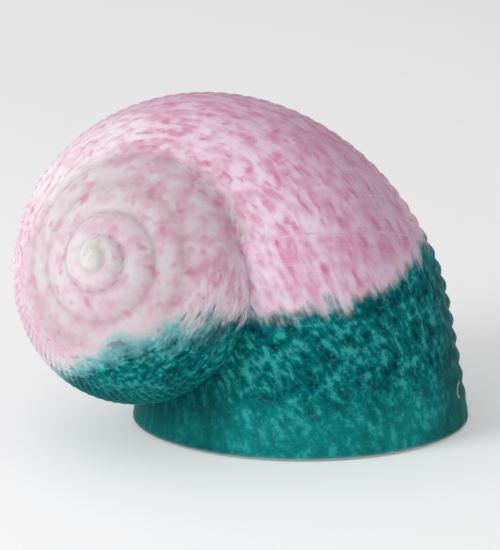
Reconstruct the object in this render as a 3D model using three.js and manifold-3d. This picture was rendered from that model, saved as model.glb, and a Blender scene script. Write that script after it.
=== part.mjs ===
// Snail-shell table light: one cast-glass shell shade that stands on its own ground mouth, with a battery
// light unit pressed up inside that mouth. Millimetres, +Z up. The spire faces -Y and the mouth faces down.
import * as THREE from "three";
import { mergeVertices } from "three/addons/utils/BufferGeometryUtils.js";
import Module from "manifold-3d";

const wasm = await Module();
wasm.setup();

// ---------------------------------------------------------------------------------------------------------
// Driving dimensions
// ---------------------------------------------------------------------------------------------------------

// The coil, measured from the tip of the spire. A whorl's section is an ellipse that grows with the turn.
const APEX_HEIGHT = 70; // tip of the spire above the table
const AXIS_YAW = 0.4925; // the coiling axis leans this far to the left of straight forward, radians
const AXIS_PITCH = 0.412; // and this far up
const GROWTH = 0.0567; // natural log of the growth in each radian of turn
const FLARE = 0.0226; // extra growth of the last whorl, per radian squared
const FLARE_FROM = -4.33; // turn angle at which that starts
const COIL_RADIUS = 27.8; // coil centre from the axis, at unit scale
const COIL_DROP = 49.8; // coil centre below the tip, along the axis
const WHORL_WIDE = 27.4; // half width of the section, across the axis
const WHORL_DEEP = 30.4; // half depth of the section, along the axis
const LAST_TURN = -0.12; // turn angle where the tube leaves the coil and drops to the mouth
const HUB_WIDE = 26; // the callus that fills the middle of the back
const HUB_DEEP = 33;
const HUB_DROP = 54;
const WHORLS = 9; // the innermost are too small to see
const SPIRE_FROM = -5.5; // turn angle from which the spire's whorls follow their own growth
const SPIRE_EASE = 0.04; // first they shrink more slowly, per radian
const SPIRE_TIGHTEN = 0.0032; // then faster and faster, per radian squared
const SPIRE_DENSITY = 1.5; // how far the rows crowd towards the spire
const TIP_LEAN = 0.02; // closer to the axis than this the tip is flat, radians
const SUTURE_SOFTNESS = 1; // radius of the blend in the grooves between whorls

// The mouth, an ellipse ground flat.
const MOUTH_WIDE = 55.4; // half width
const MOUTH_DEEP = 44.8; // half depth
const MOUTH_FROM_APEX = new THREE.Vector2(66.6, 49.2); // centre of the mouth from the tip, across and back
const MOUTH_FLARE = 0.085; // outward slope of the neck at the rim
const COIL_PULL = 0.7; // how firmly the neck keeps the tube's direction, per radian of turn
const MOUTH_PULL = 45.7; // and how far up it keeps the rim's
const RIM_HEIGHT = 0.5; // the feet hold the ground rim this far off the table
const WALL = 5; // glass

// The light unit, centred in the mouth.
const UNIT_SHIFT = 0.5; // to the right of the mouth's middle, clear of the leaning wall
const UNIT_WIDE = 43.2; // half axes of its elliptical casing
const UNIT_DEEP = 33;
const SKIN = 1.6; // moulded wall
const PAN_BOTTOM = 2;
const PAN_TOP = 9;
const COVER_BOTTOM = 9.3;
const COVER_TOP = 16;
const FIT_GAP = 0.3;
const FLOOR_TOP = PAN_BOTTOM + SKIN;

// Three AAA cells side by side along X.
const CELL_RADIUS = 5.2;
const CELL_LENGTH = 44.5;
const CELL_PITCH = 10.9;
const CELL_HEIGHT = 8.9; // middle of the cells above the table
const BAY_LONG = 50; // inside of the battery bay
const BAY_WIDE = 34;
const BAY_WALL = 2;
const BAY_TOP = 13.6;

// The battery door and its hinge pin along X.
const DOOR_LONG = 51.6;
const DOOR_PIN = -20.9; // y of the hinge pin
const DOOR_FRONT = -17.8;
const DOOR_BACK = 17.8;
const DOOR_SCREW_Y = 22;
const DOOR_THICK = 1.5;
const SWING_GAP = 0.9; // room in front of the door for its edge to swing through
const PIN_RADIUS = 0.8;
const PIN_HEIGHT = 3.8;
const PIN_LONG = 36;
const KNUCKLE_RADIUS = 1.7;
const KNUCKLE_WIDE = 6;
const KNUCKLE_AT = 11; // middle of each door knuckle from the middle of the pin

const SCREW_AT = new THREE.Vector2(37, 8);
const FOOT_AT = new THREE.Vector2(31, 17.5);
const FOOT_RADIUS = 4;
const FOOT_STEM = 1.5;
const SWITCH_Y = 27.9;
const SWITCH_TRAVEL = 4; // off, on, timer
const BOARD_RADIUS = 17;
const BOARD_BOTTOM = 18.2;
const BOARD_THICK = 1.6;
const LED_COUNT = 6;
const LED_CIRCLE = 8.5;
const DIFFUSER_RADIUS = 23;
const DIFFUSER_HEIGHT = 22;
const DIFFUSER_WALL = 1.4;
const CLIP_WIDE = 9;
const CLIP_THICK = 0.6;
const CLIP_BOW = 3.3; // how far the bow stands off the casing
const CLIP_SCREW_HEIGHT = 11.3;
const LEAD_RADIUS = 0.4;

// ---------------------------------------------------------------------------------------------------------
// Materials
// ---------------------------------------------------------------------------------------------------------
const finish = (color, roughness, metalness = 0) =>
  new THREE.MeshStandardMaterial({ color, roughness, metalness });
const PINK_GLASS = finish(0xd9a3bd, 0.45);
const WARM_WHITE_PLASTIC = finish(0xe6e2d8, 0.5);
const FROSTED_PLASTIC = finish(0xf4f2ec, 0.35);
const STEEL = finish(0xb9bbbd, 0.35, 1);
const NICKEL = finish(0xc8c4b8, 0.3, 1);
const RUBBER = finish(0x2b2b2b, 0.9);
const BOARD_WHITE = finish(0xeef0ee, 0.5);
const PHOSPHOR = finish(0xe8c860, 0.4);
const CELL_JACKET = finish(0x5a6068, 0.35);
const BLACK_PLASTIC = finish(0x1c1c1e, 0.5);
const RED_WIRE = finish(0xb02a24, 0.5);
const BLACK_WIRE = finish(0x1d1d1d, 0.5);

// ---------------------------------------------------------------------------------------------------------
// Solids: closed three.js geometries that manifold-3d joins and cuts
// ---------------------------------------------------------------------------------------------------------
function solidOf(geometry) {
  const bare = geometry.index ? geometry.toNonIndexed() : geometry.clone();
  bare.deleteAttribute("normal");
  bare.deleteAttribute("uv");
  const merged = mergeVertices(bare, 1e-4);
  const made = new wasm.Manifold(
    new wasm.Mesh({
      numProp: 3,
      vertProperties: merged.attributes.position.array,
      triVerts: new Uint32Array(merged.index.array),
    }),
  );
  if (made.volume() < 0) throw new Error("a geometry is inside out");
  return made;
}

function geometryOf(solid) {
  const mesh = solid.getMesh();
  return new THREE.BufferGeometry()
    .setAttribute("position", new THREE.BufferAttribute(mesh.vertProperties, mesh.numProp))
    .setIndex(new THREE.BufferAttribute(mesh.triVerts, 1));
}

const join = (...solids) => solids.reduce((a, b) => a.add(b));
const cut = (from, ...tools) => tools.reduce((a, b) => a.subtract(b), from);
const at = (geometry, x, y, z) => geometry.translate(x, y, z);

const block = (long, wide, low, high, x = 0, y = 0) =>
  solidOf(at(new THREE.BoxGeometry(long, wide, high - low), x, y, (low + high) / 2));

function post(radius, low, high, x = 0, y = 0, sides = 14) {
  const made = new THREE.CylinderGeometry(radius, radius, high - low, sides).rotateX(Math.PI / 2);
  return solidOf(at(made, x, y, (low + high) / 2));
}

function ellipsePlate(wide, deep, low, high, sides = 26) {
  const outline = new THREE.Shape().absellipse(0, 0, wide, deep, 0, 2 * Math.PI, false);
  const options = { depth: high - low, bevelEnabled: false, curveSegments: sides };
  return solidOf(at(new THREE.ExtrudeGeometry(outline, options), 0, 0, low));
}

function roundedPlate(long, wide, corner, low, high, x = 0, y = 0) {
  const [a, b] = [long / 2, wide / 2];
  const outline = new THREE.Shape();
  outline.moveTo(-a + corner, -b);
  outline.lineTo(a - corner, -b);
  outline.absarc(a - corner, -b + corner, corner, -Math.PI / 2, 0);
  outline.absarc(a - corner, b - corner, corner, 0, Math.PI / 2);
  outline.absarc(-a + corner, b - corner, corner, Math.PI / 2, Math.PI);
  outline.absarc(-a + corner, -b + corner, corner, Math.PI, 1.5 * Math.PI);
  const options = { depth: high - low, bevelEnabled: false, curveSegments: 3 };
  return solidOf(at(new THREE.ExtrudeGeometry(outline, options), x, y, low));
}

// A body of revolution about Z. The profile's points are [radius, height], going up the outside.
const turned = (profile, sides = 18) =>
  new THREE.LatheGeometry(profile.map(([r, z]) => new THREE.Vector2(r, z)), sides).rotateX(Math.PI / 2);

// A closed skin over a grid of points that wraps round in u. Its first and last rows close on a point.
function closedSkin(pointAt, columns, rows) {
  const points = [pointAt(0, 0)];
  for (let row = 1; row < rows; row++)
    for (let column = 0; column < columns; column++)
      points.push(pointAt(column / (columns - 1), row / rows));
  points.push(pointAt(0, 1));
  const last = points.length - 1;
  const index = [];
  const id = (row, column) => 1 + (row - 1) * columns + (column % columns);
  for (let column = 0; column < columns; column++) {
    index.push(0, id(1, column), id(1, column + 1));
    index.push(last, id(rows - 1, column + 1), id(rows - 1, column));
    for (let row = 1; row < rows - 1; row++) {
      index.push(id(row, column), id(row + 1, column), id(row + 1, column + 1));
      index.push(id(row, column), id(row + 1, column + 1), id(row, column + 1));
    }
  }
  return new THREE.BufferGeometry().setFromPoints(points).setIndex(index);
}

// ---------------------------------------------------------------------------------------------------------
// The shell: the tip of the spire is the coil's own origin
// ---------------------------------------------------------------------------------------------------------
const axis = new THREE.Vector3(
  -Math.sin(AXIS_YAW) * Math.cos(AXIS_PITCH),
  -Math.cos(AXIS_YAW) * Math.cos(AXIS_PITCH),
  Math.sin(AXIS_PITCH),
);
const across = new THREE.Vector3(1, 0, 0).addScaledVector(axis, -axis.x).normalize();
const downward = new THREE.Vector3().crossVectors(across, axis);
const apex = new THREE.Vector3(0, 0, APEX_HEIGHT);

// The tube's size at a turn: it flares towards the mouth, and the spire's whorls tighten towards the tip.
function scaleAt(turn) {
  const inwards = Math.max(0, SPIRE_FROM - turn);
  const flare = FLARE * Math.max(0, turn - FLARE_FROM) ** 2;
  return Math.exp(GROWTH * turn + flare + inwards * (SPIRE_EASE - SPIRE_TIGHTEN * inwards));
}

// A point in the half plane at a turn angle, by its distance from the axis and its height along it.
const inHalfPlane = (turn, radius, height) =>
  apex
    .clone()
    .addScaledVector(across, radius * Math.cos(turn))
    .addScaledVector(downward, radius * Math.sin(turn))
    .addScaledVector(axis, height);

// How far a ray from the core point of a half plane runs before it leaves an ellipse, or 0 if it misses.
const CORE_DROP = COIL_DROP * 1.02;
function rayThroughEllipse(lean, centreRadius, centreHeight, wide, deep) {
  const [dx, dy] = [Math.sin(lean) / wide, Math.cos(lean) / deep];
  const [x, y] = [-centreRadius / wide, (-CORE_DROP - centreHeight) / deep];
  const a = dx * dx + dy * dy;
  const b = x * dx + y * dy;
  const inside = b * b - a * (x * x + y * y - 1);
  return inside > 0 ? Math.max(0, (-b + Math.sqrt(inside)) / a) : 0;
}

// The outside of all the whorls together, seen from the core: the furthest whorl wins, with a soft groove.
function coilReach(turn, lean) {
  const reaches = [rayThroughEllipse(lean, 0, -HUB_DROP, HUB_WIDE, HUB_DEEP)];
  for (let whorl = 0; whorl < WHORLS; whorl++) {
    const s = scaleAt(turn - 2 * Math.PI * whorl);
    reaches.push(rayThroughEllipse(lean, COIL_RADIUS * s, -COIL_DROP * s, WHORL_WIDE * s, WHORL_DEEP * s));
  }
  const furthest = Math.max(...reaches);
  const sum = reaches.reduce((total, reach) => total + Math.exp((reach - furthest) / SUTURE_SOFTNESS), 0);
  return furthest + SUTURE_SOFTNESS * Math.log(sum);
}

// The coiled body as a closed skin. The hollow's is taken in by an inset from the lowest reach nearby, so
// the inside passes under the grooves smoothly and the glass is nowhere thinner than the inset.
const NEARBY = 0.1; // lean, radians
function coiledBody(inset, columns, rows) {
  const leans = inset ? [-NEARBY, 0, NEARBY] : [0];
  const pointAt = (u, v) => {
    const [turn, lean] = [LAST_TURN - 2 * Math.PI * u, Math.PI * v ** SPIRE_DENSITY];
    const reach = Math.min(...leans.map((step) => coilReach(turn, Math.max(lean, TIP_LEAN) + step))) - inset;
    return inHalfPlane(turn, reach * Math.sin(lean), reach * Math.cos(lean) - CORE_DROP);
  };
  return solidOf(closedSkin(pointAt, columns, rows));
}

const ringOfTube = (turn, angle, inset, size = 1) => {
  const s = scaleAt(turn);
  const wide = (WHORL_WIDE * s - inset) * size;
  const deep = (WHORL_DEEP * s - inset) * size;
  const [outward, upward] = [wide * Math.cos(angle), deep * Math.sin(angle)];
  return inHalfPlane(turn, COIL_RADIUS * s + outward, -COIL_DROP * s + upward);
};

const mouthCentre = new THREE.Vector3(MOUTH_FROM_APEX.x, MOUTH_FROM_APEX.y, RIM_HEIGHT);

// The neck runs from the tube's last section, keeping the coil's direction, down to the mouth's ellipse.
function neckPoint(along, angle, inset) {
  const step = 1e-3;
  const from = ringOfTube(LAST_TURN, angle, inset, 1.003);
  const leaving = ringOfTube(LAST_TURN + step, angle, inset)
    .sub(ringOfTube(LAST_TURN - step, angle, inset))
    .multiplyScalar(COIL_PULL / (2 * step));
  const [wide, deep] = [MOUTH_WIDE - inset, MOUTH_DEEP - inset];
  const to = mouthCentre.clone().add(new THREE.Vector3(wide * Math.cos(angle), -deep * Math.sin(angle), 0));
  const slope = MOUTH_FLARE * MOUTH_PULL;
  const arriving = new THREE.Vector3(
    slope * Math.cos(angle),
    (-slope * Math.sin(angle) * MOUTH_DEEP) / MOUTH_WIDE,
    -MOUTH_PULL,
  );
  const [w, w2, w3] = [along, along ** 2, along ** 3];
  return from
    .multiplyScalar(2 * w3 - 3 * w2 + 1)
    .addScaledVector(leaving, w3 - 2 * w2 + w)
    .addScaledVector(to, 3 * w2 - 2 * w3)
    .addScaledVector(arriving, w3 - w2);
}

// The neck as a closed skin. It starts inside the coil. The hollow one runs on below the rim, to open it.
function neck(inset, columns, rows, below) {
  const OVERLAP = 0.3; // turn angle by which it starts early
  const early = 2;
  const ringCentre = (pointOn) => pointOn(0).add(pointOn(Math.PI)).multiplyScalar(0.5);
  const ring = (row) => (angle) => {
    if (row <= early)
      return ringOfTube(LAST_TURN - OVERLAP * (1 - (row - 1) / early), angle, inset, inset ? 1 : 0.98);
    const along = Math.min(1, (row - early - 1) / (rows - early - (below ? 3 : 2)));
    const point = neckPoint(along, angle, inset);
    return below && row === rows - 1 ? point.setZ(-below) : point;
  };
  return solidOf(
    closedSkin(
      (u, v) => {
        const row = Math.round(v * rows);
        if (row === 0) return ringCentre(ring(1));
        if (row === rows) return ringCentre(ring(rows - 1));
        return ring(row)((-2 * Math.PI * u * (columns - 1)) / columns);
      },
      columns,
      rows,
    ),
  );
}

function glassShell() {
  const outside = join(coiledBody(0, 60, 34), neck(0, 40, 12, 0));
  const hollow = join(coiledBody(WALL + 0.5, 30, 14), neck(WALL, 32, 10, 3));
  return cut(outside, hollow);
}

// ---------------------------------------------------------------------------------------------------------
// The light unit, in a frame with its origin under the middle of the mouth
// ---------------------------------------------------------------------------------------------------------
const SIDES = [-1, 1];
const corners = (spot) => [
  [spot.x, spot.y],
  [-spot.x, spot.y],
  [-spot.x, -spot.y],
  [spot.x, -spot.y],
];
const DOOR_MIDDLE = (DOOR_FRONT + DOOR_BACK) / 2;
const DOOR_WIDE = DOOR_BACK - DOOR_FRONT;
const HEAD_RADIUS = 2.3;
const HOLE_RADIUS = 1.5;
const SHANK_RADIUS = 1.1;
const SLOT_WIDE = 0.7;
const SWITCH_SLOT = SWITCH_TRAVEL + 4.6;
const LEAD_HOLE = new THREE.Vector2(4, -20);
const LEAD_START = new THREE.Vector3(BAY_LONG / 2, 8, 12.2);

const alongX = (radius, long, x, y, z, sides = 16) =>
  solidOf(at(new THREE.CylinderGeometry(radius, radius, long, sides).rotateZ(Math.PI / 2), x, y, z));

// The door's plate with the tab that its screw goes through, or the recess that they lie in.
const doorOutline = (low, high, gap) =>
  join(
    roundedPlate(DOOR_LONG + 2 * gap, DOOR_WIDE + 2 * gap, 1.5, low, high, 0, DOOR_MIDDLE),
    roundedPlate(8 + 2 * gap, 9 + 2 * gap, 3, low, high, 0, DOOR_SCREW_Y - 1),
  );

function basePan() {
  const casing = cut(
    ellipsePlate(UNIT_WIDE, UNIT_DEEP, PAN_BOTTOM, PAN_TOP),
    ellipsePlate(UNIT_WIDE - SKIN, UNIT_DEEP - SKIN, FLOOR_TOP, PAN_TOP + 1),
  );
  const bay = block(BAY_LONG + 2 * BAY_WALL, BAY_WIDE + 2 * BAY_WALL, PAN_BOTTOM + 1, BAY_TOP);
  const ear = (long, x) => block(long, 4, PAN_BOTTOM, PIN_HEIGHT + 1.8, x, DOOR_PIN);
  const outerEar = KNUCKLE_AT + 5;
  const ears = [ear(15.4, 0), ear(3.4, outerEar), ear(3.4, -outerEar)];
  const doorBoss = block(6, 6.4, PAN_BOTTOM + 1, PAN_TOP, 0, DOOR_SCREW_Y - 0.6);
  const screwPosts = corners(SCREW_AT).map(([x, y]) => post(3, PAN_BOTTOM + 1, PAN_TOP, x, y));
  const below = PAN_BOTTOM - 1;
  const recess = [
    doorOutline(below, FLOOR_TOP + 0.2, FIT_GAP),
    block(DOOR_LONG + 2 * FIT_GAP, 2 * SWING_GAP, below, FLOOR_TOP + 0.2, 0, DOOR_FRONT),
  ];
  const knuckleNotches = SIDES.map((side) =>
    block(KNUCKLE_WIDE + 2 * FIT_GAP, 7.6, below, PIN_HEIGHT + 2.2, side * KNUCKLE_AT, DOOR_PIN + 0.9),
  );
  const screwHoles = corners(SCREW_AT).flatMap(([x, y]) => [
    post(HOLE_RADIUS, below, PAN_TOP + 1, x, y, 12),
    post(HEAD_RADIUS + FIT_GAP, below, PAN_BOTTOM + 2.2, x, y, 16),
  ]);
  return cut(
    join(casing, bay, doorBoss, ...ears, ...screwPosts),
    block(BAY_LONG, BAY_WIDE, below, BAY_TOP + 1),
    ...recess,
    ...knuckleNotches,
    alongX(PIN_RADIUS + 0.1, PIN_LONG + 2 * FIT_GAP, 0, DOOR_PIN, PIN_HEIGHT),
    block(SWITCH_SLOT, 3.6, below, FLOOR_TOP + 1, 0, SWITCH_Y),
    ...corners(FOOT_AT).map(([x, y]) => post(FOOT_STEM + FIT_GAP, below, FLOOR_TOP + 1, x, y)),
    ...screwHoles,
    post(HOLE_RADIUS, below, PAN_TOP - 1, 0, DOOR_SCREW_Y),
    ...SIDES.map((side) => block(5, 2.4, 11, BAY_TOP + 1, side * (BAY_LONG / 2 + 1), side * LEAD_START.y)),
  );
}

function topCover() {
  const cap = cut(
    ellipsePlate(UNIT_WIDE, UNIT_DEEP, COVER_BOTTOM, COVER_TOP),
    ellipsePlate(UNIT_WIDE - SKIN, UNIT_DEEP - SKIN, COVER_BOTTOM - 1, COVER_TOP - SKIN),
  );
  const bosses = corners(SCREW_AT).map(([x, y]) => post(3, COVER_BOTTOM, COVER_TOP - 1, x, y));
  const standoffs = boardScrewSpots.map(([x, y]) => post(2.2, COVER_TOP - 0.5, BOARD_BOTTOM - 0.2, x, y));
  return cut(
    join(cap, ...bosses, ...standoffs),
    ...corners(SCREW_AT).map(([x, y]) => post(HOLE_RADIUS, COVER_BOTTOM - 1, COVER_TOP - 1, x, y, 12)),
    ...boardScrewSpots.map(([x, y]) => post(1.3, COVER_TOP - 1.2, BOARD_BOTTOM + 1, x, y, 12)),
    ...SIDES.map((side) => post(1, COVER_TOP - 3, COVER_TOP + 1, side * LEAD_HOLE.x, LEAD_HOLE.y, 12)),
    ...clipSpots.map((spot) => clipBore(1.2, 6, 0, spot)),
  );
}

// Three screws hold the board, a third of a turn apart.
const BOARD_SCREW_CIRCLE = 13.6;
const boardScrewSpots = [0, 1, 2].map((n) => {
  const angle = Math.PI / 2 + (n * 2 * Math.PI) / 3;
  return [BOARD_SCREW_CIRCLE * Math.cos(angle), BOARD_SCREW_CIRCLE * Math.sin(angle)];
});

// The four spring clips sit at the ends of the casing's two axes.
const clipSpots = [0, 1, 2, 3].map((n) => ({
  turn: (n * Math.PI) / 2,
  reach: n % 2 ? UNIT_DEEP : UNIT_WIDE,
}));

// A round post that points outward through a clip's screw place, its middle this far out from the casing.
const clipBore = (radius, long, out, { turn, reach }) =>
  solidOf(
    new THREE.CylinderGeometry(radius, radius, long, 12)
      .rotateZ(Math.PI / 2)
      .translate(reach + out, 0, CLIP_SCREW_HEIGHT)
      .rotateZ(turn),
  );

// A clip is a bent strip: a flat tab against the casing, then a bow that bears on the glass.
function springClip(spot) {
  const inner = [
    [FIT_GAP, CLIP_SCREW_HEIGHT + 2.2],
    [FIT_GAP, CLIP_SCREW_HEIGHT - 2.2],
    [CLIP_BOW - 0.6, 6.2],
    [CLIP_BOW, 5],
    [CLIP_BOW - 0.4, 4],
    [1, 2.6],
  ];
  const outer = inner.map(([x, z]) => [x + CLIP_THICK, z]).reverse();
  const outline = new THREE.Shape([...inner, ...outer].map(([x, z]) => new THREE.Vector2(x, z)));
  const strip = new THREE.ExtrudeGeometry(outline, { depth: CLIP_WIDE, bevelEnabled: false })
    .translate(spot.reach, 0, -CLIP_WIDE / 2)
    .rotateX(Math.PI / 2)
    .rotateZ(spot.turn);
  return cut(solidOf(strip), clipBore(1.3, 4, 0, spot));
}

const clipScrew = (spot) => join(clipBore(2, 0.9, 1.45, spot), clipBore(0.9, 4, -0.7, spot));

function batteryDoor() {
  const top = PAN_BOTTOM + DOOR_THICK;
  const hinges = SIDES.flatMap((side) => [
    alongX(KNUCKLE_RADIUS, KNUCKLE_WIDE, side * KNUCKLE_AT, DOOR_PIN, PIN_HEIGHT),
    block(KNUCKLE_WIDE, 4.6, PAN_BOTTOM + 0.1, top, side * KNUCKLE_AT, DOOR_PIN + 2.3),
  ]);
  return cut(
    join(doorOutline(PAN_BOTTOM, top, 0), ...hinges),
    alongX(PIN_RADIUS + 0.1, PIN_LONG, 0, DOOR_PIN, PIN_HEIGHT),
    post(HOLE_RADIUS, PAN_BOTTOM - 1, top + 1, 0, DOOR_SCREW_Y),
  );
}

// A screw that stands head down, from the underside of its head up, with a driver slot across the head.
function screwHeadDown(headRadius, shankRadius, low, seat, tip, x, y, crossed) {
  const slotTop = low + (seat - low) * 0.45;
  const slots = [block(2 * headRadius + 1, SLOT_WIDE, low - 1, slotTop, x, y)];
  if (crossed) slots.push(block(SLOT_WIDE, 2 * headRadius - 1.4, low - 1, slotTop, x, y));
  const solid = join(
    post(headRadius, low, seat, x, y, 18),
    post(shankRadius, seat - 0.4, tip, x, y, 12),
  );
  return cut(solid, ...slots);
}

const doorScrew = () =>
  screwHeadDown(2.6, 1.2, PAN_BOTTOM - 1.2, PAN_BOTTOM - 0.2, 6, 0, DOOR_SCREW_Y, false);

const coverScrew = ([x, y]) =>
  screwHeadDown(HEAD_RADIUS, SHANK_RADIUS, PAN_BOTTOM + 0.4, PAN_BOTTOM + 1.9, COVER_TOP - 2, x, y, true);

const BOARD_TOP = BOARD_BOTTOM + BOARD_THICK;
const boardScrew = ([x, y]) =>
  cut(
    join(
      post(1.9, BOARD_TOP + 0.1, BOARD_TOP + 1.2, x, y, 16),
      post(0.95, COVER_TOP - 1, BOARD_TOP + 0.6, x, y, 12),
    ),
    block(4.4, SLOT_WIDE, BOARD_TOP + 0.7, BOARD_TOP + 2, x, y),
  );

const ledBoard = () =>
  cut(
    post(BOARD_RADIUS, BOARD_BOTTOM, BOARD_TOP, 0, 0, 32),
    ...boardScrewSpots.map(([x, y]) => post(1.3, BOARD_BOTTOM - 1, BOARD_TOP + 1, x, y, 12)),
  );

// A surface-mount LED: a flat package with a domed lens.
function led(n) {
  const angle = (n * 2 * Math.PI) / LED_COUNT;
  const base = BOARD_TOP + 0.1;
  const top = base + 0.9;
  const packageBox = new THREE.BoxGeometry(3.5, 2.8, top - base).translate(0, 0, (base + top) / 2);
  const lens = turned(
    [
      [0, top - 0.2],
      [1.2, top - 0.2],
      [1, top + 0.5],
      [0.6, top + 0.85],
      [0, top + 1],
    ],
    14,
  );
  const placed = [packageBox, lens].map((shape) => shape.translate(LED_CIRCLE, 0, 0).rotateZ(angle));
  return join(...placed.map(solidOf));
}

// The dome over the board: a frosted moulding with a flange at its foot.
function diffuser() {
  const foot = COVER_TOP + 0.2;
  const flangeTop = foot + 1.6;
  const STEPS = 6;
  const arc = (inset) =>
    Array.from({ length: STEPS }, (_, step) => {
      const angle = (step * Math.PI) / 2 / STEPS;
      const radius = (DIFFUSER_RADIUS - inset) * Math.cos(angle);
      return [radius, flangeTop + (DIFFUSER_HEIGHT - inset) * Math.sin(angle)];
    });
  const profile = [
    [DIFFUSER_RADIUS - DIFFUSER_WALL, foot],
    [DIFFUSER_RADIUS + 2, foot],
    [DIFFUSER_RADIUS + 2, flangeTop],
    ...arc(0),
    [0, flangeTop + DIFFUSER_HEIGHT],
    [0, flangeTop + DIFFUSER_HEIGHT - DIFFUSER_WALL],
    ...arc(DIFFUSER_WALL).reverse(),
    [DIFFUSER_RADIUS - DIFFUSER_WALL, foot],
  ];
  return solidOf(turned(profile, 28));
}

// Neighbouring cells lie head to tail, so the contacts at each end join them in series.
const cellSpots = [-1, 0, 1].map((place) => ({ y: place * CELL_PITCH, heading: place ? 1 : -1 }));

function cell({ y, heading }) {
  const half = CELL_LENGTH / 2;
  const shoulder = half - 0.9;
  const NIB = 1.9; // radius of the positive nib
  const profile = [
    [0, -half],
    [CELL_RADIUS - 0.5, -half],
    [CELL_RADIUS, -half + 0.5],
    [CELL_RADIUS, shoulder - 0.5],
    [CELL_RADIUS - 0.5, shoulder],
    [NIB, shoulder],
    [NIB, half],
    [0, half],
  ].map(([radius, along]) => new THREE.Vector2(radius, along));
  const can = new THREE.LatheGeometry(profile, 18).rotateZ((-heading * Math.PI) / 2);
  return solidOf(can.translate(0, y, CELL_HEIGHT));
}

// A contact is a nickel plate on the end of the bay, with a cone spring where it meets a cell's flat end.
const PLATE_THICK = 0.5;
function contact(end, from, to, springAt) {
  const back = BAY_LONG / 2 - FIT_GAP;
  const front = back - PLATE_THICK;
  const plateShape = new THREE.BoxGeometry(PLATE_THICK, to - from, 8);
  const plate = solidOf(at(plateShape, (end * (back + front)) / 2, (from + to) / 2, CELL_HEIGHT));
  if (springAt === null) return plate;
  const tip = CELL_LENGTH / 2 + FIT_GAP;
  const cone = new THREE.CylinderGeometry(1.8, 3, front - tip + 0.1, 16).rotateZ((end * Math.PI) / 2);
  return join(plate, solidOf(cone.translate((end * (front + tip + 0.1)) / 2, springAt, CELL_HEIGHT)));
}

const switchBody = () =>
  cut(
    block(13, 6, FLOOR_TOP + 0.2, 10.2, 0, SWITCH_Y),
    block(SWITCH_SLOT, 3.6, FLOOR_TOP - 1, 6.4, 0, SWITCH_Y),
  );

// The slider rests at the left end of its travel. Three grip ribs stand proud of its underside.
function switchSlider() {
  const rest = -SWITCH_TRAVEL / 2;
  const ribs = [-1.2, 0, 1.2].map((x) =>
    block(0.5, 2.8, PAN_BOTTOM - 0.2, PAN_BOTTOM + 0.4, rest + x, SWITCH_Y),
  );
  return join(block(4, 2.8, PAN_BOTTOM + 0.3, 5.9, rest, SWITCH_Y), ...ribs);
}

// A rubber foot with a stem that plugs into the pan's floor.
function foot([x, y]) {
  const padTop = PAN_BOTTOM - 0.2;
  const profile = [
    [0, 0],
    [FOOT_RADIUS - 0.4, 0],
    [FOOT_RADIUS, 0.4],
    [FOOT_RADIUS, padTop],
    [FOOT_STEM, padTop],
    [FOOT_STEM, FLOOR_TOP],
    [0, FLOOR_TOP],
  ];
  return solidOf(at(turned(profile), x, y, 0));
}

// A lead leaves its end contact through a notch, passes round the outside of the bay to the front, rises
// through the cover and ends under the board.
function lead(side) {
  const outside = BAY_LONG / 2 + BAY_WALL + 1.6;
  const front = BAY_WIDE / 2 + BAY_WALL + 1.6;
  const route = new THREE.CatmullRomCurve3(
    [
      [side * LEAD_START.x, side * LEAD_START.y, LEAD_START.z],
      [side * outside, side * LEAD_START.y, LEAD_START.z],
      [side * outside, -front + 2, 11.4],
      [side * (outside - 2), -front, 11.2],
      [side * (LEAD_HOLE.x + 3), -front, 11.6],
      [side * LEAD_HOLE.x, LEAD_HOLE.y, 13.4],
      [side * LEAD_HOLE.x, LEAD_HOLE.y, COVER_TOP + 0.3],
      [side * LEAD_HOLE.x, LEAD_HOLE.y + 4, BOARD_BOTTOM - 1],
    ].map((point) => new THREE.Vector3(...point)),
    false,
    "centripetal",
  );
  const section = new THREE.Shape().absarc(0, 0, LEAD_RADIUS, 0, 2 * Math.PI);
  const sweep = { extrudePath: route, steps: 26, curveSegments: 4, bevelEnabled: false };
  return solidOf(new THREE.ExtrudeGeometry(section, sweep));
}

// ---------------------------------------------------------------------------------------------------------
// The assembly
// ---------------------------------------------------------------------------------------------------------
const part = new THREE.Group();
const lightUnit = new THREE.Group();
lightUnit.position.set(MOUTH_FROM_APEX.x + UNIT_SHIFT, MOUTH_FROM_APEX.y, 0);
part.add(lightUnit);

function place(group, name, solid, material) {
  const mesh = new THREE.Mesh(geometryOf(solid), material);
  mesh.name = name;
  group.add(mesh);
  return mesh;
}

const shellMesh = place(part, "glass_shell", glassShell(), PINK_GLASS);
place(lightUnit, "base_pan", basePan(), WARM_WHITE_PLASTIC);
place(lightUnit, "top_cover", topCover(), WARM_WHITE_PLASTIC);
corners(SCREW_AT).forEach((spot, n) => place(lightUnit, `cover_screw_${n + 1}`, coverScrew(spot), STEEL));
clipSpots.forEach((spot, n) => {
  place(lightUnit, `spring_clip_${n + 1}`, springClip(spot), STEEL);
  place(lightUnit, `clip_screw_${n + 1}`, clipScrew(spot), STEEL);
});
place(lightUnit, "battery_door", batteryDoor(), WARM_WHITE_PLASTIC);
place(lightUnit, "door_hinge_pin", alongX(PIN_RADIUS, PIN_LONG, 0, DOOR_PIN, PIN_HEIGHT), STEEL);
place(lightUnit, "door_screw", doorScrew(), STEEL);
cellSpots.forEach((spot, n) => place(lightUnit, `battery_cell_${n + 1}`, cell(spot), CELL_JACKET));

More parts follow.
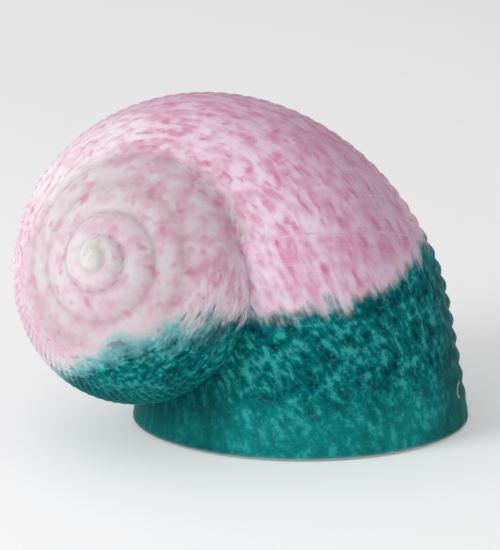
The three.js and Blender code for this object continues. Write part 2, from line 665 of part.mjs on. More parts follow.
const HALF_BAY = BAY_WIDE / 2 - FIT_GAP;
const DIVIDE = CELL_PITCH / 2;
place(lightUnit, "contact_negative", contact(-1, -HALF_BAY, -DIVIDE - 0.4, -CELL_PITCH), NICKEL);
place(lightUnit, "contact_bridge_1", contact(1, -HALF_BAY, DIVIDE - 0.4, 0), NICKEL);
place(lightUnit, "contact_bridge_2", contact(-1, -DIVIDE + 0.4, HALF_BAY, CELL_PITCH), NICKEL);
place(lightUnit, "contact_positive", contact(1, DIVIDE + 0.4, HALF_BAY, null), NICKEL);
place(lightUnit, "lead_positive", lead(1), RED_WIRE);
place(lightUnit, "lead_negative", lead(-1), BLACK_WIRE);
place(lightUnit, "switch_body", switchBody(), BLACK_PLASTIC);
place(lightUnit, "switch_slider", switchSlider(), BLACK_PLASTIC);
place(lightUnit, "led_board", ledBoard(), BOARD_WHITE);
boardScrewSpots.forEach((spot, n) => place(lightUnit, `board_screw_${n + 1}`, boardScrew(spot), STEEL));
for (let n = 0; n < LED_COUNT; n++) place(lightUnit, `led_${n + 1}`, led(n), PHOSPHOR);
place(lightUnit, "diffuser", diffuser(), FROSTED_PLASTIC);
corners(FOOT_AT).forEach((spot, n) => place(lightUnit, `foot_${n + 1}`, foot(spot), RUBBER));

// The part's origin is on the table, under the middle of the whole shell.
const middle = new THREE.Box3().setFromObject(shellMesh).getCenter(new THREE.Vector3());
part.children.forEach((child) => child.position.sub(new THREE.Vector3(middle.x, middle.y, 0)));

export default part;
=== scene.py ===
import math

import bmesh
import bpy
import numpy as np
from mathutils import Matrix, Vector


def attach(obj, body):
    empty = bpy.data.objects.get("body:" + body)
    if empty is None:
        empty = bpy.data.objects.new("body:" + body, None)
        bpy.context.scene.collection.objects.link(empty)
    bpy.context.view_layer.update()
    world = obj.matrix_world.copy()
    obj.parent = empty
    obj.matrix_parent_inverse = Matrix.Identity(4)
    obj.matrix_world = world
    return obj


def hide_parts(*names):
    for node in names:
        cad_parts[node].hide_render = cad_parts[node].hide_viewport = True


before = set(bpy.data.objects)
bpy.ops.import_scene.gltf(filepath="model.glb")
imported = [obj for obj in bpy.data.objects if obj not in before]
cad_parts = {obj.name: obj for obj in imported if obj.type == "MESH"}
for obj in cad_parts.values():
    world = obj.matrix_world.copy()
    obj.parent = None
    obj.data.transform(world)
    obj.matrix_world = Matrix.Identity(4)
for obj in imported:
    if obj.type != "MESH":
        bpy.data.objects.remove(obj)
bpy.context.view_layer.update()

# ---------------------------------------------------------------------------------------------------------
# Where it stands: a plain pale table top under soft daylight, seen a little from above and from far off,
# so the lamp keeps its real proportions.
# ---------------------------------------------------------------------------------------------------------
scene = bpy.context.scene
scene.view_settings.view_transform = "Standard"
looked_at = Vector((0.00254, 0, 0.04963))
LOOKING_DOWN = math.radians(17)
VIEW_DISTANCE = 1.1
VIEW_HEIGHT = 0.1786
FILM = 36
towards_camera = Vector((0, -math.cos(LOOKING_DOWN), math.sin(LOOKING_DOWN)))
camera = bpy.data.objects.new("camera", bpy.data.cameras.new("camera"))
camera.data.sensor_width = FILM
camera.data.lens = VIEW_DISTANCE * FILM / VIEW_HEIGHT
camera.location = looked_at + towards_camera * VIEW_DISTANCE
camera.rotation_euler = (math.pi / 2 - LOOKING_DOWN, 0, 0)
camera.data.clip_start = 0.01
scene.collection.objects.link(camera)
scene.camera = camera

world = bpy.data.worlds.new("daylight")
world.use_nodes = True
world.node_tree.nodes["Background"].inputs["Color"].default_value = (1, 1, 1, 1)
world.node_tree.nodes["Background"].inputs["Strength"].default_value = 0.5
scene.world = world


def soft_panel(name, place, aimed_at, size, power):
    """A square softbox that faces a point of the lamp."""
    panel = bpy.data.objects.new(name, bpy.data.lights.new(name, "AREA"))
    panel.data.size = size
    panel.data.energy = power
    panel.location = place
    panel.rotation_euler = (Vector(aimed_at) - Vector(place)).to_track_quat("-Z", "Y").to_euler()
    scene.collection.objects.link(panel)


soft_panel("window", (-1.1, -0.6, 0.7), (-0.04, 0, 0.06), 0.6, 10)
soft_panel("room", (-0.1, -1.2, 0.4), (0.02, 0, 0.05), 0.9, 1.5)


class Reading:
    """A value, colour or direction somewhere in a finish, which can stand in a sum."""

    def __init__(self, finish, socket):
        self.finish, self.socket = finish, socket

    def worked(self, operation, first, second):
        return self.finish.node("Math", {"operation": operation}, {0: first, 1: second})

    def __add__(self, other):
        return self.worked("ADD", self, other)

    def __sub__(self, other):
        return self.worked("SUBTRACT", self, other)

    def __rsub__(self, other):
        return self.worked("SUBTRACT", other, self)

    def __mul__(self, other):
        return self.worked("MULTIPLY", self, other)

    __radd__, __rmul__ = __add__, __mul__


class Finish:
    """The nodes of one finish. It ends in a Principled BSDF."""

    def __init__(self, name):
        self.material = bpy.data.materials.new(name)
        self.material.use_nodes = True
        self.material.node_tree.nodes.clear()

    def node(self, kind, settings, inputs, out=0):
        """A node whose settings are set before its inputs get their values or links."""
        made = self.material.node_tree.nodes.new("ShaderNode" + kind)
        for key, value in settings.items():
            if key == "stops":
                stops = made.color_ramp.elements
                stops.remove(stops[1])
                stops[0].position, stops[0].color = value[0][0], (*value[0][1], 1)
                for position, colour in value[1:]:
                    stops.new(position).color = (*colour, 1)
            else:
                setattr(made, key, value)
        for key, value in inputs.items():
            if isinstance(value, Reading):
                self.material.node_tree.links.new(value.socket, made.inputs[key])
            elif isinstance(value, tuple) and made.inputs[key].type == "RGBA":
                made.inputs[key].default_value = (*value, 1)
            else:
                made.inputs[key].default_value = value
        return Reading(self, made.outputs[out]) if made.outputs else None

    def place(self):
        return self.node("TexCoord", {}, {}, "Object")

    def attribute(self, name, out="Fac"):
        return self.node("Attribute", {"attribute_name": name}, {}, out)

    def noise(self, where, scale, detail=2, rough=0.5):
        inputs = {"Vector": where, "Scale": scale, "Detail": detail, "Roughness": rough}
        return self.node("TexNoise", {}, inputs)

    def ramp(self, value, *stops):
        """A colour ramp. A stop's colour may be one number, for a grey."""
        full = [(at, c if isinstance(c, tuple) else (c, c, c)) for at, c in stops]
        return self.node("ValToRGB", {"stops": full}, {"Fac": value})

    def rise(self, value, low, high):
        """0 up to low and 1 from high, with a soft start and end."""
        return self.node("MapRange", {"interpolation_type": "SMOOTHSTEP"}, {0: value, 1: low, 2: high})

    def mix(self, factor, first, second):
        return self.node("Mix", {"data_type": "RGBA"}, {0: factor, 6: first, 7: second}, 2)

    def apart(self, where):
        """The three parts of a place."""
        return [self.node("SeparateXYZ", {}, {0: where}, n) for n in range(3)]

    def stretched(self, where, x, y, z):
        return self.node("VectorMath", {"operation": "MULTIPLY"}, {0: where, 1: (x, y, z)})

    def bump(self, height, distance, strength=1.0, over=None):
        inputs = {"Height": height, "Distance": distance, "Strength": strength}
        if over:
            inputs["Normal"] = over
        return self.node("Bump", {}, inputs)

    def done(self, **sockets):
        """Ends the finish in its shader. Underscores in a socket's name stand for spaces."""
        inputs = {key.replace("_", " "): value for key, value in sockets.items()}
        shader = self.node("BsdfPrincipled", {}, inputs)
        self.node("OutputMaterial", {}, {"Surface": shader})
        return self.material


def paint(red, green, blue):
    """A colour from its 0 to 255 values as they look on a screen."""
    return tuple(((c / 255 + 0.055) / 1.055) ** 2.4 if c > 10 else c / 3294 for c in (red, green, blue))


laminate = Finish("table_top")
grain = laminate.noise(laminate.place(), 3, 4)
table_top = bmesh.new()
bmesh.ops.create_grid(table_top, x_segments=1, y_segments=1, size=20)
bmesh.ops.translate(table_top, verts=table_top.verts, vec=(0, 0, -0.0002))
table_mesh = bpy.data.meshes.new("table_top")
table_top.to_mesh(table_mesh)
table_mesh.materials.append(
    laminate.done(
        Base_Color=laminate.ramp(grain, (0.3, paint(244, 244, 245)), (0.7, paint(249, 249, 250))),
        Roughness=0.8,
        Emission_Color=(1, 1, 1),
        Emission_Strength=0.18,
    )
)
table = bpy.data.objects.new("table_top", table_mesh)
scene.collection.objects.link(table)

# ---------------------------------------------------------------------------------------------------------
# The shade: one hollow casting of frosted glass, crushed coloured glass melted in a ribbed mould, its rim
# ground flat. A coiled tube grows round a tilted axis, and a neck leads its end down to the rim.
# ---------------------------------------------------------------------------------------------------------
APEX = Vector((-0.0474, -0.04496, 0.07))
AXIS_YAW = 0.4925
AXIS_PITCH = 0.412
GROWTH = 0.0567
FLARE = 0.0226
FLARE_FROM = -4.33
COIL_RADIUS, COIL_DROP = 0.0278, 0.0498
WHORL_WIDE, WHORL_DEEP = 0.0274, 0.0304
HUB_WIDE, HUB_DEEP, HUB_DROP = 0.026, 0.033, 0.054
LAST_TURN = -0.12
SPIRE_FROM = -5.5
SPIRE_EASE, SPIRE_TIGHTEN = 0.04, 0.0032
WHORLS = 9
SPIRE_DENSITY = 1.5
SUTURE_SOFTNESS = 0.001
TIP_LEAN = 0.02  # closer to the axis than this the tip is flat
CORE_DROP = COIL_DROP * 1.02
MOUTH = Vector((0.0192, 0.00424, 0.0005))
MOUTH_WIDE, MOUTH_DEEP = 0.0554, 0.0448
MOUTH_FLARE, COIL_PULL, MOUTH_PULL = 0.085, 0.7, 0.0457
GLASS = 0.005
RIBS = 96  # in one turn
RIB_DEEP = 0.0013
STRIA_DEEP = 0.00008
SKIN_INSIDE = 0.00012  # the crests lie this far inside the solid's skin
GROOVE_BLUR = (-0.015, -0.0075, 0, 0.0075, 0.015)  # the grooves are softened over this much lean
BACK_LEAN = 2.5  # but not past this lean, round the back
NEARBY = 0.1  # the hollow follows the lowest reach within this lean
HOLLOW_CLEAR = 0.0005  # the coil's hollow keeps this much more glass than the neck's
OPENED_BELOW = 0.003  # the neck's hollow runs this far below the table, to open the mouth
NECK_START_SIZE = 1.0004  # the neck's first section covers the coil's, with no seam
NECK_START_INSET, NECK_START_BACK = 0.0008, 0.006
GROOVE_WIDTH = 0.0024  # at unit scale
RIBBED_FROM, RIBBED_TO = -5.8, -4.6  # turns over which the ribs appear

axis = Vector(
    (
        -math.sin(AXIS_YAW) * math.cos(AXIS_PITCH),
        -math.cos(AXIS_YAW) * math.cos(AXIS_PITCH),
        math.sin(AXIS_PITCH),
    )
)
across = (Vector((1, 0, 0)) - axis * axis.x).normalized()
downward = across.cross(axis)
APEX, MOUTH, axis, across, downward = (np.array(v) for v in (APEX, MOUTH, axis, across, downward))


def scale_at(turn):
    inwards = np.maximum(0, SPIRE_FROM - turn)
    flare = FLARE * np.maximum(0, turn - FLARE_FROM) ** 2
    return np.exp(GROWTH * turn + flare + inwards * (SPIRE_EASE - SPIRE_TIGHTEN * inwards))


def in_half_plane(turn, radius, height):
    """Points by turn, distance from the coil's axis and height along it."""
    radial = across * np.cos(turn)[..., None] + downward * np.sin(turn)[..., None]
    return APEX + radial * radius[..., None] + axis * height[..., None]


def through_ellipse(lean, radius, height, wide, deep):
    """How far a ray from the core runs before it leaves an ellipse, or 0 if it misses."""
    dx, dy = np.sin(lean) / wide, np.cos(lean) / deep
    x, y = -radius / wide, (-CORE_DROP - height) / deep
    a, b = dx * dx + dy * dy, x * dx + y * dy
    inside = b * b - a * (x * x + y * y - 1)
    return np.where(inside > 0, np.maximum(0, (-b + np.sqrt(np.maximum(inside, 0))) / a), 0)


def whorl_reaches(turn, lean):
    """How far the hub and then each whorl reach from the core, the last whorl first."""
    reaches = [through_ellipse(lean, 0 * turn, -HUB_DROP + 0 * turn, HUB_WIDE, HUB_DEEP)]
    for whorl in range(WHORLS):
        s = scale_at(turn - 2 * math.pi * whorl)
        reaches.append(through_ellipse(lean, COIL_RADIUS * s, -COIL_DROP * s, WHORL_WIDE * s, WHORL_DEEP * s))
    return np.array(reaches)


def coil_reach(turn, lean):
    reaches = whorl_reaches(turn, lean)
    furthest = reaches.max(0)
    return furthest + SUTURE_SOFTNESS * np.log(np.exp((reaches - furthest) / SUTURE_SOFTNESS).sum(0))


def ribs_at(turn):
    """How far the surface lies under the crests: rounded ribs with sharp valleys, and finer lines on them."""
    valley = 1 - np.abs(np.cos(RIBS / 2 * (turn - LAST_TURN))) ** 0.8
    return SKIN_INSIDE + RIB_DEEP * valley + STRIA_DEEP * (0.5 - 0.5 * np.cos(2 * RIBS * (turn - LAST_TURN)))


def wrapped_skin(name, columns, rows, point_at, flow_at=None):
    """A closed skin from a grid that wraps round in u and closes on a point at v = 0 and at v = 1."""
    made = bmesh.new()
    bmesh.ops.create_grid(made, x_segments=columns, y_segments=rows, size=0.5)
    flat = np.array([vert.co for vert in made.verts])
    u, v = flat[:, 0] + 0.5, flat[:, 1] + 0.5
    points = point_at(u, v)
    flows = flow_at(u, v) if flow_at else None
    if flow_at:
        layers = [made.verts.layers.float.new(key) for key in flows]
    for n, vert in enumerate(made.verts):
        vert.co = points[n]
    if flow_at:
        for layer, values in zip(layers, flows.values()):
            for vert, value in zip(made.verts, values):
                vert[layer] = value
    bmesh.ops.remove_doubles(made, verts=made.verts, dist=1e-6)
    bmesh.ops.recalc_face_normals(made, faces=made.faces)
    mesh = bpy.data.meshes.new(name)
    made.to_mesh(mesh)
    made.free()
    return mesh


def turn_about_axis(points):
    """The turn, the distance from the axis and the height along it of some points."""
    x, y, height = ((points - APEX) @ part for part in (across, downward, axis))
    return np.arctan2(y, x), np.hypot(x, y), height


def smooth_rise(value, low, high):
    part = np.clip((value - low) / (high - low), 0, 1)
    return part * part * (3 - 2 * part)


def rib_strength(points, angle):
    """Ribs are strongest round the outside of the tube. They die out at the axis and at the ground rim."""
    turn, from_axis, _ = turn_about_axis(points)
    angle = (angle + math.pi) % (2 * math.pi) - math.pi
    front = 0.38 - 0.45 * np.cos(turn)
    outside = smooth_rise(angle - front, 0.35, -0.2) * smooth_rise(angle, -2.6, -1.2)
    near_axis = smooth_rise(from_axis, 0.006, 0.03)
    above_rim = smooth_rise(points[..., 2], 0.001, 0.012)
    to_the_left = 1 - 0.35 * smooth_rise(-points[..., 0], 0.02, 0.055)
    shoulder = 0.07 + 0.2 * smooth_rise(np.abs(angle), 2.2, 2.9)
    return near_axis * above_rim * to_the_left * np.maximum(outside, shoulder)


COIL_COLUMNS, COIL_ROWS = RIBS * 6 + 1, 108
SPIRE_LEAN, SPIRE_ROWS = 1.0, 0.68  # this lean from the axis takes this share of the rows


def coil_turn(columns, u):
    """The turn of a place in the coil's grid. The last column comes back to the first."""
    column = np.rint(u * columns)
    return LAST_TURN - 2 * math.pi * np.where(column == columns, 0, column / (columns - 1))


def coil_lean(v):
    """The lean of a row of the coil's outside: close and even over the spire, wider apart round the back."""
    slope = SPIRE_LEAN / SPIRE_ROWS
    over = np.maximum(0, v - SPIRE_ROWS)
    widening = (math.pi - slope) / (1 - SPIRE_ROWS) ** 2
    return slope * v + widening * over * over


def tube_place(turn, lean):
    """The whorl's own turn and angle round the tube, and how near the groove between two whorls is."""
    reaches = whorl_reaches(turn, lean)
    whorl = reaches[1:].argmax(0)
    in_order = np.sort(reaches[1:], 0)
    unwound = turn - 2 * math.pi * whorl
    s = scale_at(unwound)
    reach = reaches.max(0)
    out = (reach * np.sin(lean) - COIL_RADIUS * s) / (WHORL_WIDE * s)
    up = (reach * np.cos(lean) - CORE_DROP + COIL_DROP * s) / (WHORL_DEEP * s)
    return unwound, np.arctan2(up, out), np.exp(-(reach - in_order[-2]) / (GROOVE_WIDTH * s))


def one_tip(reach, rows, v):
    """The row at v = 0 is a single point, so it takes the mean reach of the next row."""
    reach[v < 1e-6] = reach[np.rint(v * rows) == 1].mean()
    return reach


def coil_skin(u, v):
    turn, lean = coil_turn(COIL_COLUMNS, u), coil_lean(v)
    near = np.maximum(lean, TIP_LEAN)
    softened = np.mean([coil_reach(turn, near + step) for step in GROOVE_BLUR], 0)
    reach = one_tip(np.where(lean < BACK_LEAN, softened, coil_reach(turn, near)), COIL_ROWS, v)
    crests = in_half_plane(turn, reach * np.sin(lean), reach * np.cos(lean) - CORE_DROP)
    unwound, angle, _ = tube_place(turn, lean)
    strength = rib_strength(crests, angle) * smooth_rise(unwound, RIBBED_FROM, RIBBED_TO)
    reach = reach - SKIN_INSIDE - (ribs_at(turn) - SKIN_INSIDE) * strength
    return in_half_plane(turn, reach * np.sin(lean), reach * np.cos(lean) - CORE_DROP)


def coil_flow(u, v):
    turn, lean = coil_turn(COIL_COLUMNS, u), coil_lean(v)
    unwound, angle, groove = tube_place(turn, lean)
    return {
        "tube_out": np.cos(angle),
        "tube_up": np.sin(angle),
        "unwound": unwound,
        "groove": groove,
        "inner": 0 * turn,
    }


def coil_hollow(u, v):
    """The hollow keeps a full wall everywhere and passes smoothly under the grooves."""
    turn, lean = coil_turn(COIL_HOLLOW_COLUMNS, u), math.pi * v**SPIRE_DENSITY
    near = np.maximum(lean, TIP_LEAN)
    lowest = np.array([coil_reach(turn, near + step) for step in (-NEARBY, 0, NEARBY)]).min(0)
    reach = one_tip(lowest - GLASS - HOLLOW_CLEAR, COIL_HOLLOW_ROWS, v)
    return in_half_plane(turn, reach * np.sin(lean), reach * np.cos(lean) - CORE_DROP)


def tube_ring(turn, angle, inset, size=1.0):
    s = scale_at(turn)
    wide, deep = (WHORL_WIDE * s - inset) * size, (WHORL_DEEP * s - inset) * size
    return in_half_plane(turn, COIL_RADIUS * s + wide * np.cos(angle), -COIL_DROP * s + deep * np.sin(angle))


def neck_point(along, angle, inset):
    """From the tube's last section, keeping the coil's direction, down to the mouth's ellipse."""
    start = LAST_TURN + 0 * angle
    step = 1e-3
    leaving = tube_ring(start + step, angle, inset) - tube_ring(start - step, angle, inset)
    leaving = leaving * COIL_PULL / (2 * step)
    wide, deep = MOUTH_WIDE - inset, MOUTH_DEEP - inset
    to = MOUTH + np.stack([wide * np.cos(angle), -deep * np.sin(angle), 0 * angle], -1)
    slope = MOUTH_FLARE * MOUTH_PULL
    back = -slope * np.sin(angle) * MOUTH_DEEP / MOUTH_WIDE
    arriving = np.stack([slope * np.cos(angle), back, -MOUTH_PULL + 0 * angle], -1)
    w = along[..., None]
    return (
        tube_ring(start, angle, inset, NECK_START_SIZE) * (2 * w**3 - 3 * w**2 + 1)
        + leaving * (w**3 - 2 * w**2 + w)
        + to * (3 * w**2 - 2 * w**3)
        + arriving * (w**3 - w**2)
    )


NECK_COLUMNS, NECK_ROWS = 352, 96
EARLY = 2  # rows inside the coil
OVERLAP = 0.3


def neck_skin(rows, inset_at, below, u, v):
    """The neck's grid. The hollow one runs on below the rim, to open it."""
    row = np.rint(v * rows)
    ring = np.clip(row, 1, rows - 1)
    angle = -2 * math.pi * u
    along = np.clip((ring - EARLY - 1) / (rows - EARLY - (3 if below else 2)), 0, 1)
    crests = neck_point(along, angle, 0 * angle)
    points = neck_point(along, angle, inset_at(crests, angle))
    if below:
        points[ring == rows - 1, 2] = -below
    back = np.where(ring == 1, OVERLAP, NECK_START_BACK)
    early = tube_ring(LAST_TURN - back, angle, GLASS if below else NECK_START_INSET)
    points = np.where((ring <= EARLY)[:, None], early, points)
    for end, source in ((0, 1), (rows, rows - 1)):
        points[row == end] = points[row == source].mean(0)
    return points


def neck_ribs(crests, angle):
    turn, _, _ = turn_about_axis(crests)
    return SKIN_INSIDE + (ribs_at(turn) - SKIN_INSIDE) * rib_strength(crests, angle)


def neck_outside(u, v):
    return neck_skin(NECK_ROWS, neck_ribs, 0, u, v)


def neck_flow(u, v):
    angle = -2 * math.pi * u
    turn, _, _ = turn_about_axis(neck_outside(u, v))
    return {
        "tube_out": np.cos(angle),
        "tube_up": np.sin(angle),
        "unwound": np.where(turn < -1.8, turn + 2 * math.pi, turn),
        "groove": 0 * turn,
        "inner": 0 * turn,
    }


def neck_hollow(u, v):
    return neck_skin(NECK_HOLLOW_ROWS, lambda _, angle: GLASS + 0 * angle, OPENED_BELOW, u, v)


def opal_inside(u, _):
    none = 0 * u
    return {"tube_out": 1 + none, "tube_up": none, "unwound": none, "groove": none, "inner": 1 + none}


COIL_HOLLOW_COLUMNS, COIL_HOLLOW_ROWS = 121, 34
NECK_HOLLOW_COLUMNS, NECK_HOLLOW_ROWS = 96, 26
skins = [
    wrapped_skin("coil", COIL_COLUMNS, COIL_ROWS, coil_skin, coil_flow),
    wrapped_skin("neck", NECK_COLUMNS, NECK_ROWS, neck_outside, neck_flow),
    wrapped_skin("coil_hollow", COIL_HOLLOW_COLUMNS, COIL_HOLLOW_ROWS, coil_hollow, opal_inside),
    wrapped_skin("neck_hollow", NECK_HOLLOW_COLUMNS, NECK_HOLLOW_ROWS, neck_hollow, opal_inside),
]


def combined(name, mesh, *steps):
    """A mesh joined with, or cut by, others in turn."""
    whole = bpy.data.objects.new(name, mesh)
    scene.collection.objects.link(whole)
    others = []
    for operation, other in steps:
        tool = bpy.data.objects.new(other.name, other)
        scene.collection.objects.link(tool)
        others.append(tool)
        cutter = whole.modifiers.new(other.name, "BOOLEAN")
        cutter.operation, cutter.object, cutter.solver = operation, tool, "MANIFOLD"
    result = bpy.data.meshes.new_from_object(whole.evaluated_get(bpy.context.evaluated_depsgraph_get()))
    result.name = name
    whole.modifiers.clear()
    whole.data = result
    for tool in others:
        bpy.data.objects.remove(tool)
    return whole


hollow = combined("hollow", skins[2], ("UNION", skins[3]))
shade = combined("ribbed_shade", skins[0], ("UNION", skins[1]), ("DIFFERENCE", hollow.data))
bpy.data.objects.remove(hollow)
shade.data.materials.clear()
trimmed = bmesh.new()
trimmed.from_mesh(shade.data)
STRAY = 100  # a scrap that the cuts leave behind has fewer vertices than this
unseen = set(trimmed.verts)
while unseen:
    island, edge_of_island = set(), [unseen.pop()]
    while edge_of_island:
        vert = edge_of_island.pop()
        island.add(vert)
        beside = [edge.other_vert(vert) for edge in vert.link_edges]
        edge_of_island += [other for other in beside if other in unseen]
        unseen.difference_update(beside)
    if len(island) < STRAY:
        bmesh.ops.delete(trimmed, geom=list(island), context="VERTS")
trimmed.to_mesh(shade.data)
for face in shade.data.polygons:
    face.use_smooth = True
shade.data.set_sharp_from_angle(angle=math.radians(62))

glass = Finish("frit_cased_glass")
at = glass.place()
x, y, z = glass.apart(at)
unwound = glass.attribute("unwound")
tube_out = glass.attribute("tube_out")
tube_up = glass.attribute("tube_up")


def streaks(fineness, length, detail=2, rough=0.5, shift=0.0):
    """Noise drawn out along the tube. Fineness counts round the tube and length along it, in radians."""
    inputs = {0: tube_out * fineness + shift, 1: tube_up * fineness, 2: unwound * length}
    return glass.noise(glass.node("CombineXYZ", {}, inputs), 1, detail, rough)


# Above it, crushed pink frit over opal, denser and more mauve towards the lamp's top and right; the mauve
# round the last whorl's outer edge is partly painted shade.
tint = glass.rise(x + z * 0.5, -0.022, 0.062)
on_coil = glass.rise(x, 0.002, -0.02)
mauve_and_painted_edge_shade = glass.rise(unwound, -2.9, -1.5) * glass.rise(tube_out, 0.45, 0.97)
patches = glass.noise(at, 60, 2)
opal = glass.mix(tint, paint(240, 236, 238), paint(233, 213, 227))
# Painted shade: the coil on the left is made greyer towards its bottom.
opal = glass.mix(glass.rise(z, 0.075, 0.035) * on_coil * 0.85, opal, paint(198, 182, 189))
opal = glass.mix(glass.rise(patches, 0.38, 0.7) * 0.45, opal, paint(226, 196, 210))
# Mauve frit colour mixed with painted shade along the outline of the last whorl.
opal = glass.mix(mauve_and_painted_edge_shade * 0.8, opal, paint(220, 178, 205))
grains = glass.noise(at, 260, 1.5, 0.5)
drawn = streaks(13, 9, 1.5, 0.5)
on_spire = glass.rise(unwound, -5.6, -6.8)
opal = glass.mix(on_spire * 0.65, opal, paint(205, 198, 201))
groove = glass.attribute("groove")
loose = glass.rise(on_spire + groove, 0.3, 0.75)
drawn = drawn * (1 - loose) + glass.noise(at, 190, 1.5, 0.5) * loose
pink_grains = glass.rise(drawn * 0.74 + grains * 0.26 + patches * 0.24 + tint * 0.03, 0.5, 0.84)
upper = glass.mix(pink_grains * (0.52 + tint * 0.3), opal, paint(210, 140, 170))
deep_drawn = streaks(18, 13, 1, 0.5, 7) * (1 - loose) + glass.noise(at, 230, 1, 0.5) * loose
deep_grains = glass.rise(deep_drawn + patches * 0.2, 0.64, 0.9)
upper = glass.mix(deep_grains * 0.6, upper, paint(206, 108, 150))
# Pale radial lines: partly pale streaks in the glass, partly painted highlights on the rib crests.
pale_lines_and_rib_highlights = glass.rise(streaks(2.2, 75, 2, 0.6, 3), 0.54, 0.76)
upper = glass.mix(pale_lines_and_rib_highlights * (1 - groove) * 0.3, upper, paint(232, 224, 229))
from_tip = glass.node("VectorMath", {"operation": "DISTANCE"}, {0: at, 1: tuple(APEX)}, 1)
tip = glass.rise(from_tip, 0.009, 0.003)
upper = glass.mix(tip * 0.75, upper, paint(207, 211, 203))
# Painted shade in the grooves between whorls, strongest on the outer whorl's side.
outer_side = glass.rise(tube_out, 0.35, -0.25)
upper = glass.mix(groove * (outer_side * 0.55 + 0.32), upper, paint(166, 140, 138))

# Below a ragged line the glass is teal, with paler drawn streaks and stray dark and pink grains.
teal_tone = streaks(17, 18, 2, 0.55, 11) * 0.4 + glass.noise(at, 320, 3, 0.65) * 0.4
teal_tone = teal_tone + glass.noise(at, 50, 2) * 0.2
teal = glass.ramp(
    teal_tone,
    (0.39, paint(0, 58, 66)),
    (0.46, paint(0, 94, 99)),
    (0.52, paint(0, 120, 122)),
    (0.59, paint(50, 166, 163)),
)
stray = glass.rise(glass.noise(at, 900, 1), 0.64, 0.74)
teal = glass.mix(stray * 0.4, teal, paint(130, 112, 140))
stray_dark = glass.rise(glass.noise(at, 380, 2), 0.56, 0.74)
teal = glass.mix(stray_dark * 0.5, teal, paint(0, 54, 70))
# Painted light from the table below: the teal is made paler towards the rim.
painted_bounce_light = glass.rise(z, 0.03, 0.006)
teal = glass.mix(painted_bounce_light * 0.4, teal, paint(30, 160, 154))
# Painted shade: darker teal under the coil's overhang.
painted_shade_under_coil = glass.rise(z, 0.036, 0.016) * glass.rise(x, 0.002, -0.012)
# Painted shade: darker teal down the right-hand side, away from the light.
painted_shade_right_side = glass.rise(x, 0.056, 0.071)
teal = glass.mix(painted_shade_under_coil * 0.6, teal, paint(0, 70, 68))
teal = glass.mix(painted_shade_right_side * 0.7, teal, paint(0, 56, 57))
drifting = (streaks(8, 3, 2, 0.6, 5) - 0.5) * 0.013 + (streaks(26, 14, 1, 0.5, 9) - 0.5) * 0.006
mottled = (glass.noise(at, 150, 3, 0.6) - 0.5) * 0.014
ragged = drifting * (1 - loose) + mottled * (0.6 + loose * 0.4)
coil_line = glass.rise(x, -0.07, -0.028) * 0.0085 - glass.rise(x, -0.008, 0.001) * 0.0035 - 0.005
line = x * 0.1 + x * x * x * 54.5 + 0.0475 + coil_line
above = z - line + ragged
teal = glass.mix(glass.rise(above, -0.011, 0.0) * on_coil * 0.7, teal, paint(150, 205, 207))
haze = glass.rise(above, 0.008, 0.001)
upper = glass.mix(haze * 0.5, upper, paint(222, 212, 216))
dark_grains = streaks(11, 8, 1, 0.5, 21) * (1 - loose) + glass.noise(at, 300, 2) * loose
spots = glass.rise(dark_grains, 0.56, 0.68)
coloured = glass.mix(glass.rise(above, 0.0038, -0.0042), upper, teal)
edge_of_teal = glass.rise(above, -0.008, -0.001) * glass.rise(above, 0.0025, -0.001)
coloured = glass.mix(spots * edge_of_teal * 0.5, coloured, paint(24, 62, 92))
pits = glass.node("TexVoronoi", {}, {"Vector": at, "Scale": 55})
coloured = glass.mix(glass.rise(pits, 0.02, 0.012) * 0.85, coloured, paint(40, 34, 38))
# A small pale ring-shaped mark low on the right side.
PALE_MARK_AT = (0.0707, -0.0086, 0.0132)
from_pale_mark = glass.node("VectorMath", {"operation": "DISTANCE"}, {0: at, 1: PALE_MARK_AT}, 1)
pale_ring_mark = glass.rise(from_pale_mark, 0.0016, 0.0022) * glass.rise(from_pale_mark, 0.0032, 0.0026)
pale_ring_mark = pale_ring_mark * glass.rise(x, 0.0712, 0.07)
coloured = glass.mix(pale_ring_mark * 0.75, coloured, paint(176, 188, 182))
coloured = glass.mix(glass.attribute("inner"), coloured, paint(240, 236, 236))
# The lowest band of glass along the rim is made darker grey.
darker_rim_band = glass.rise(z, 0.0016, 0.0006)
coloured = glass.mix(darker_rim_band * 0.6, coloured, paint(110, 118, 114))

fine_lines = glass.node("Math", {"operation": "SINE"}, {0: unwound * (RIBS * 2)})
frosting = glass.noise(at, 1400, 3, 0.6)
waviness = glass.noise(at, 120, 2)
relief = glass.bump(frosting, 0.00006, 0.5)
relief = glass.bump(waviness + fine_lines * (1 - loose) * 0.04, 0.0005, 0.5, relief)
shade.data.materials.append(
    glass.done(
        Base_Color=coloured,
        Roughness=glass.ramp(glass.noise(at, 260, 3), (0.3, 0.42), (0.7, 0.56)),
        Normal=relief,
        Subsurface_Weight=0.8,
        Subsurface_Radius=(0.006, 0.005, 0.005),
        Subsurface_Scale=1.0,
        Specular_IOR_Level=0.03,
    )
)
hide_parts("glass_shell")
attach(shade, "shell")

# ---------------------------------------------------------------------------------------------------------
# The diffuser: a dome of frosted polycarbonate, moulded in one with the flange that it stands on.
# ---------------------------------------------------------------------------------------------------------
UNIT = Vector((0.019697, 0.004237, 0))
DOME_RADIUS, DOME_HEIGHT, DOME_WALL = 0.023, 0.022, 0.0014
FLANGE_LOW, FLANGE_HIGH, FLANGE_RADIUS = 0.0162, 0.0178, 0.025
FILLET = 0.0003
QUARTER_STEPS = 20


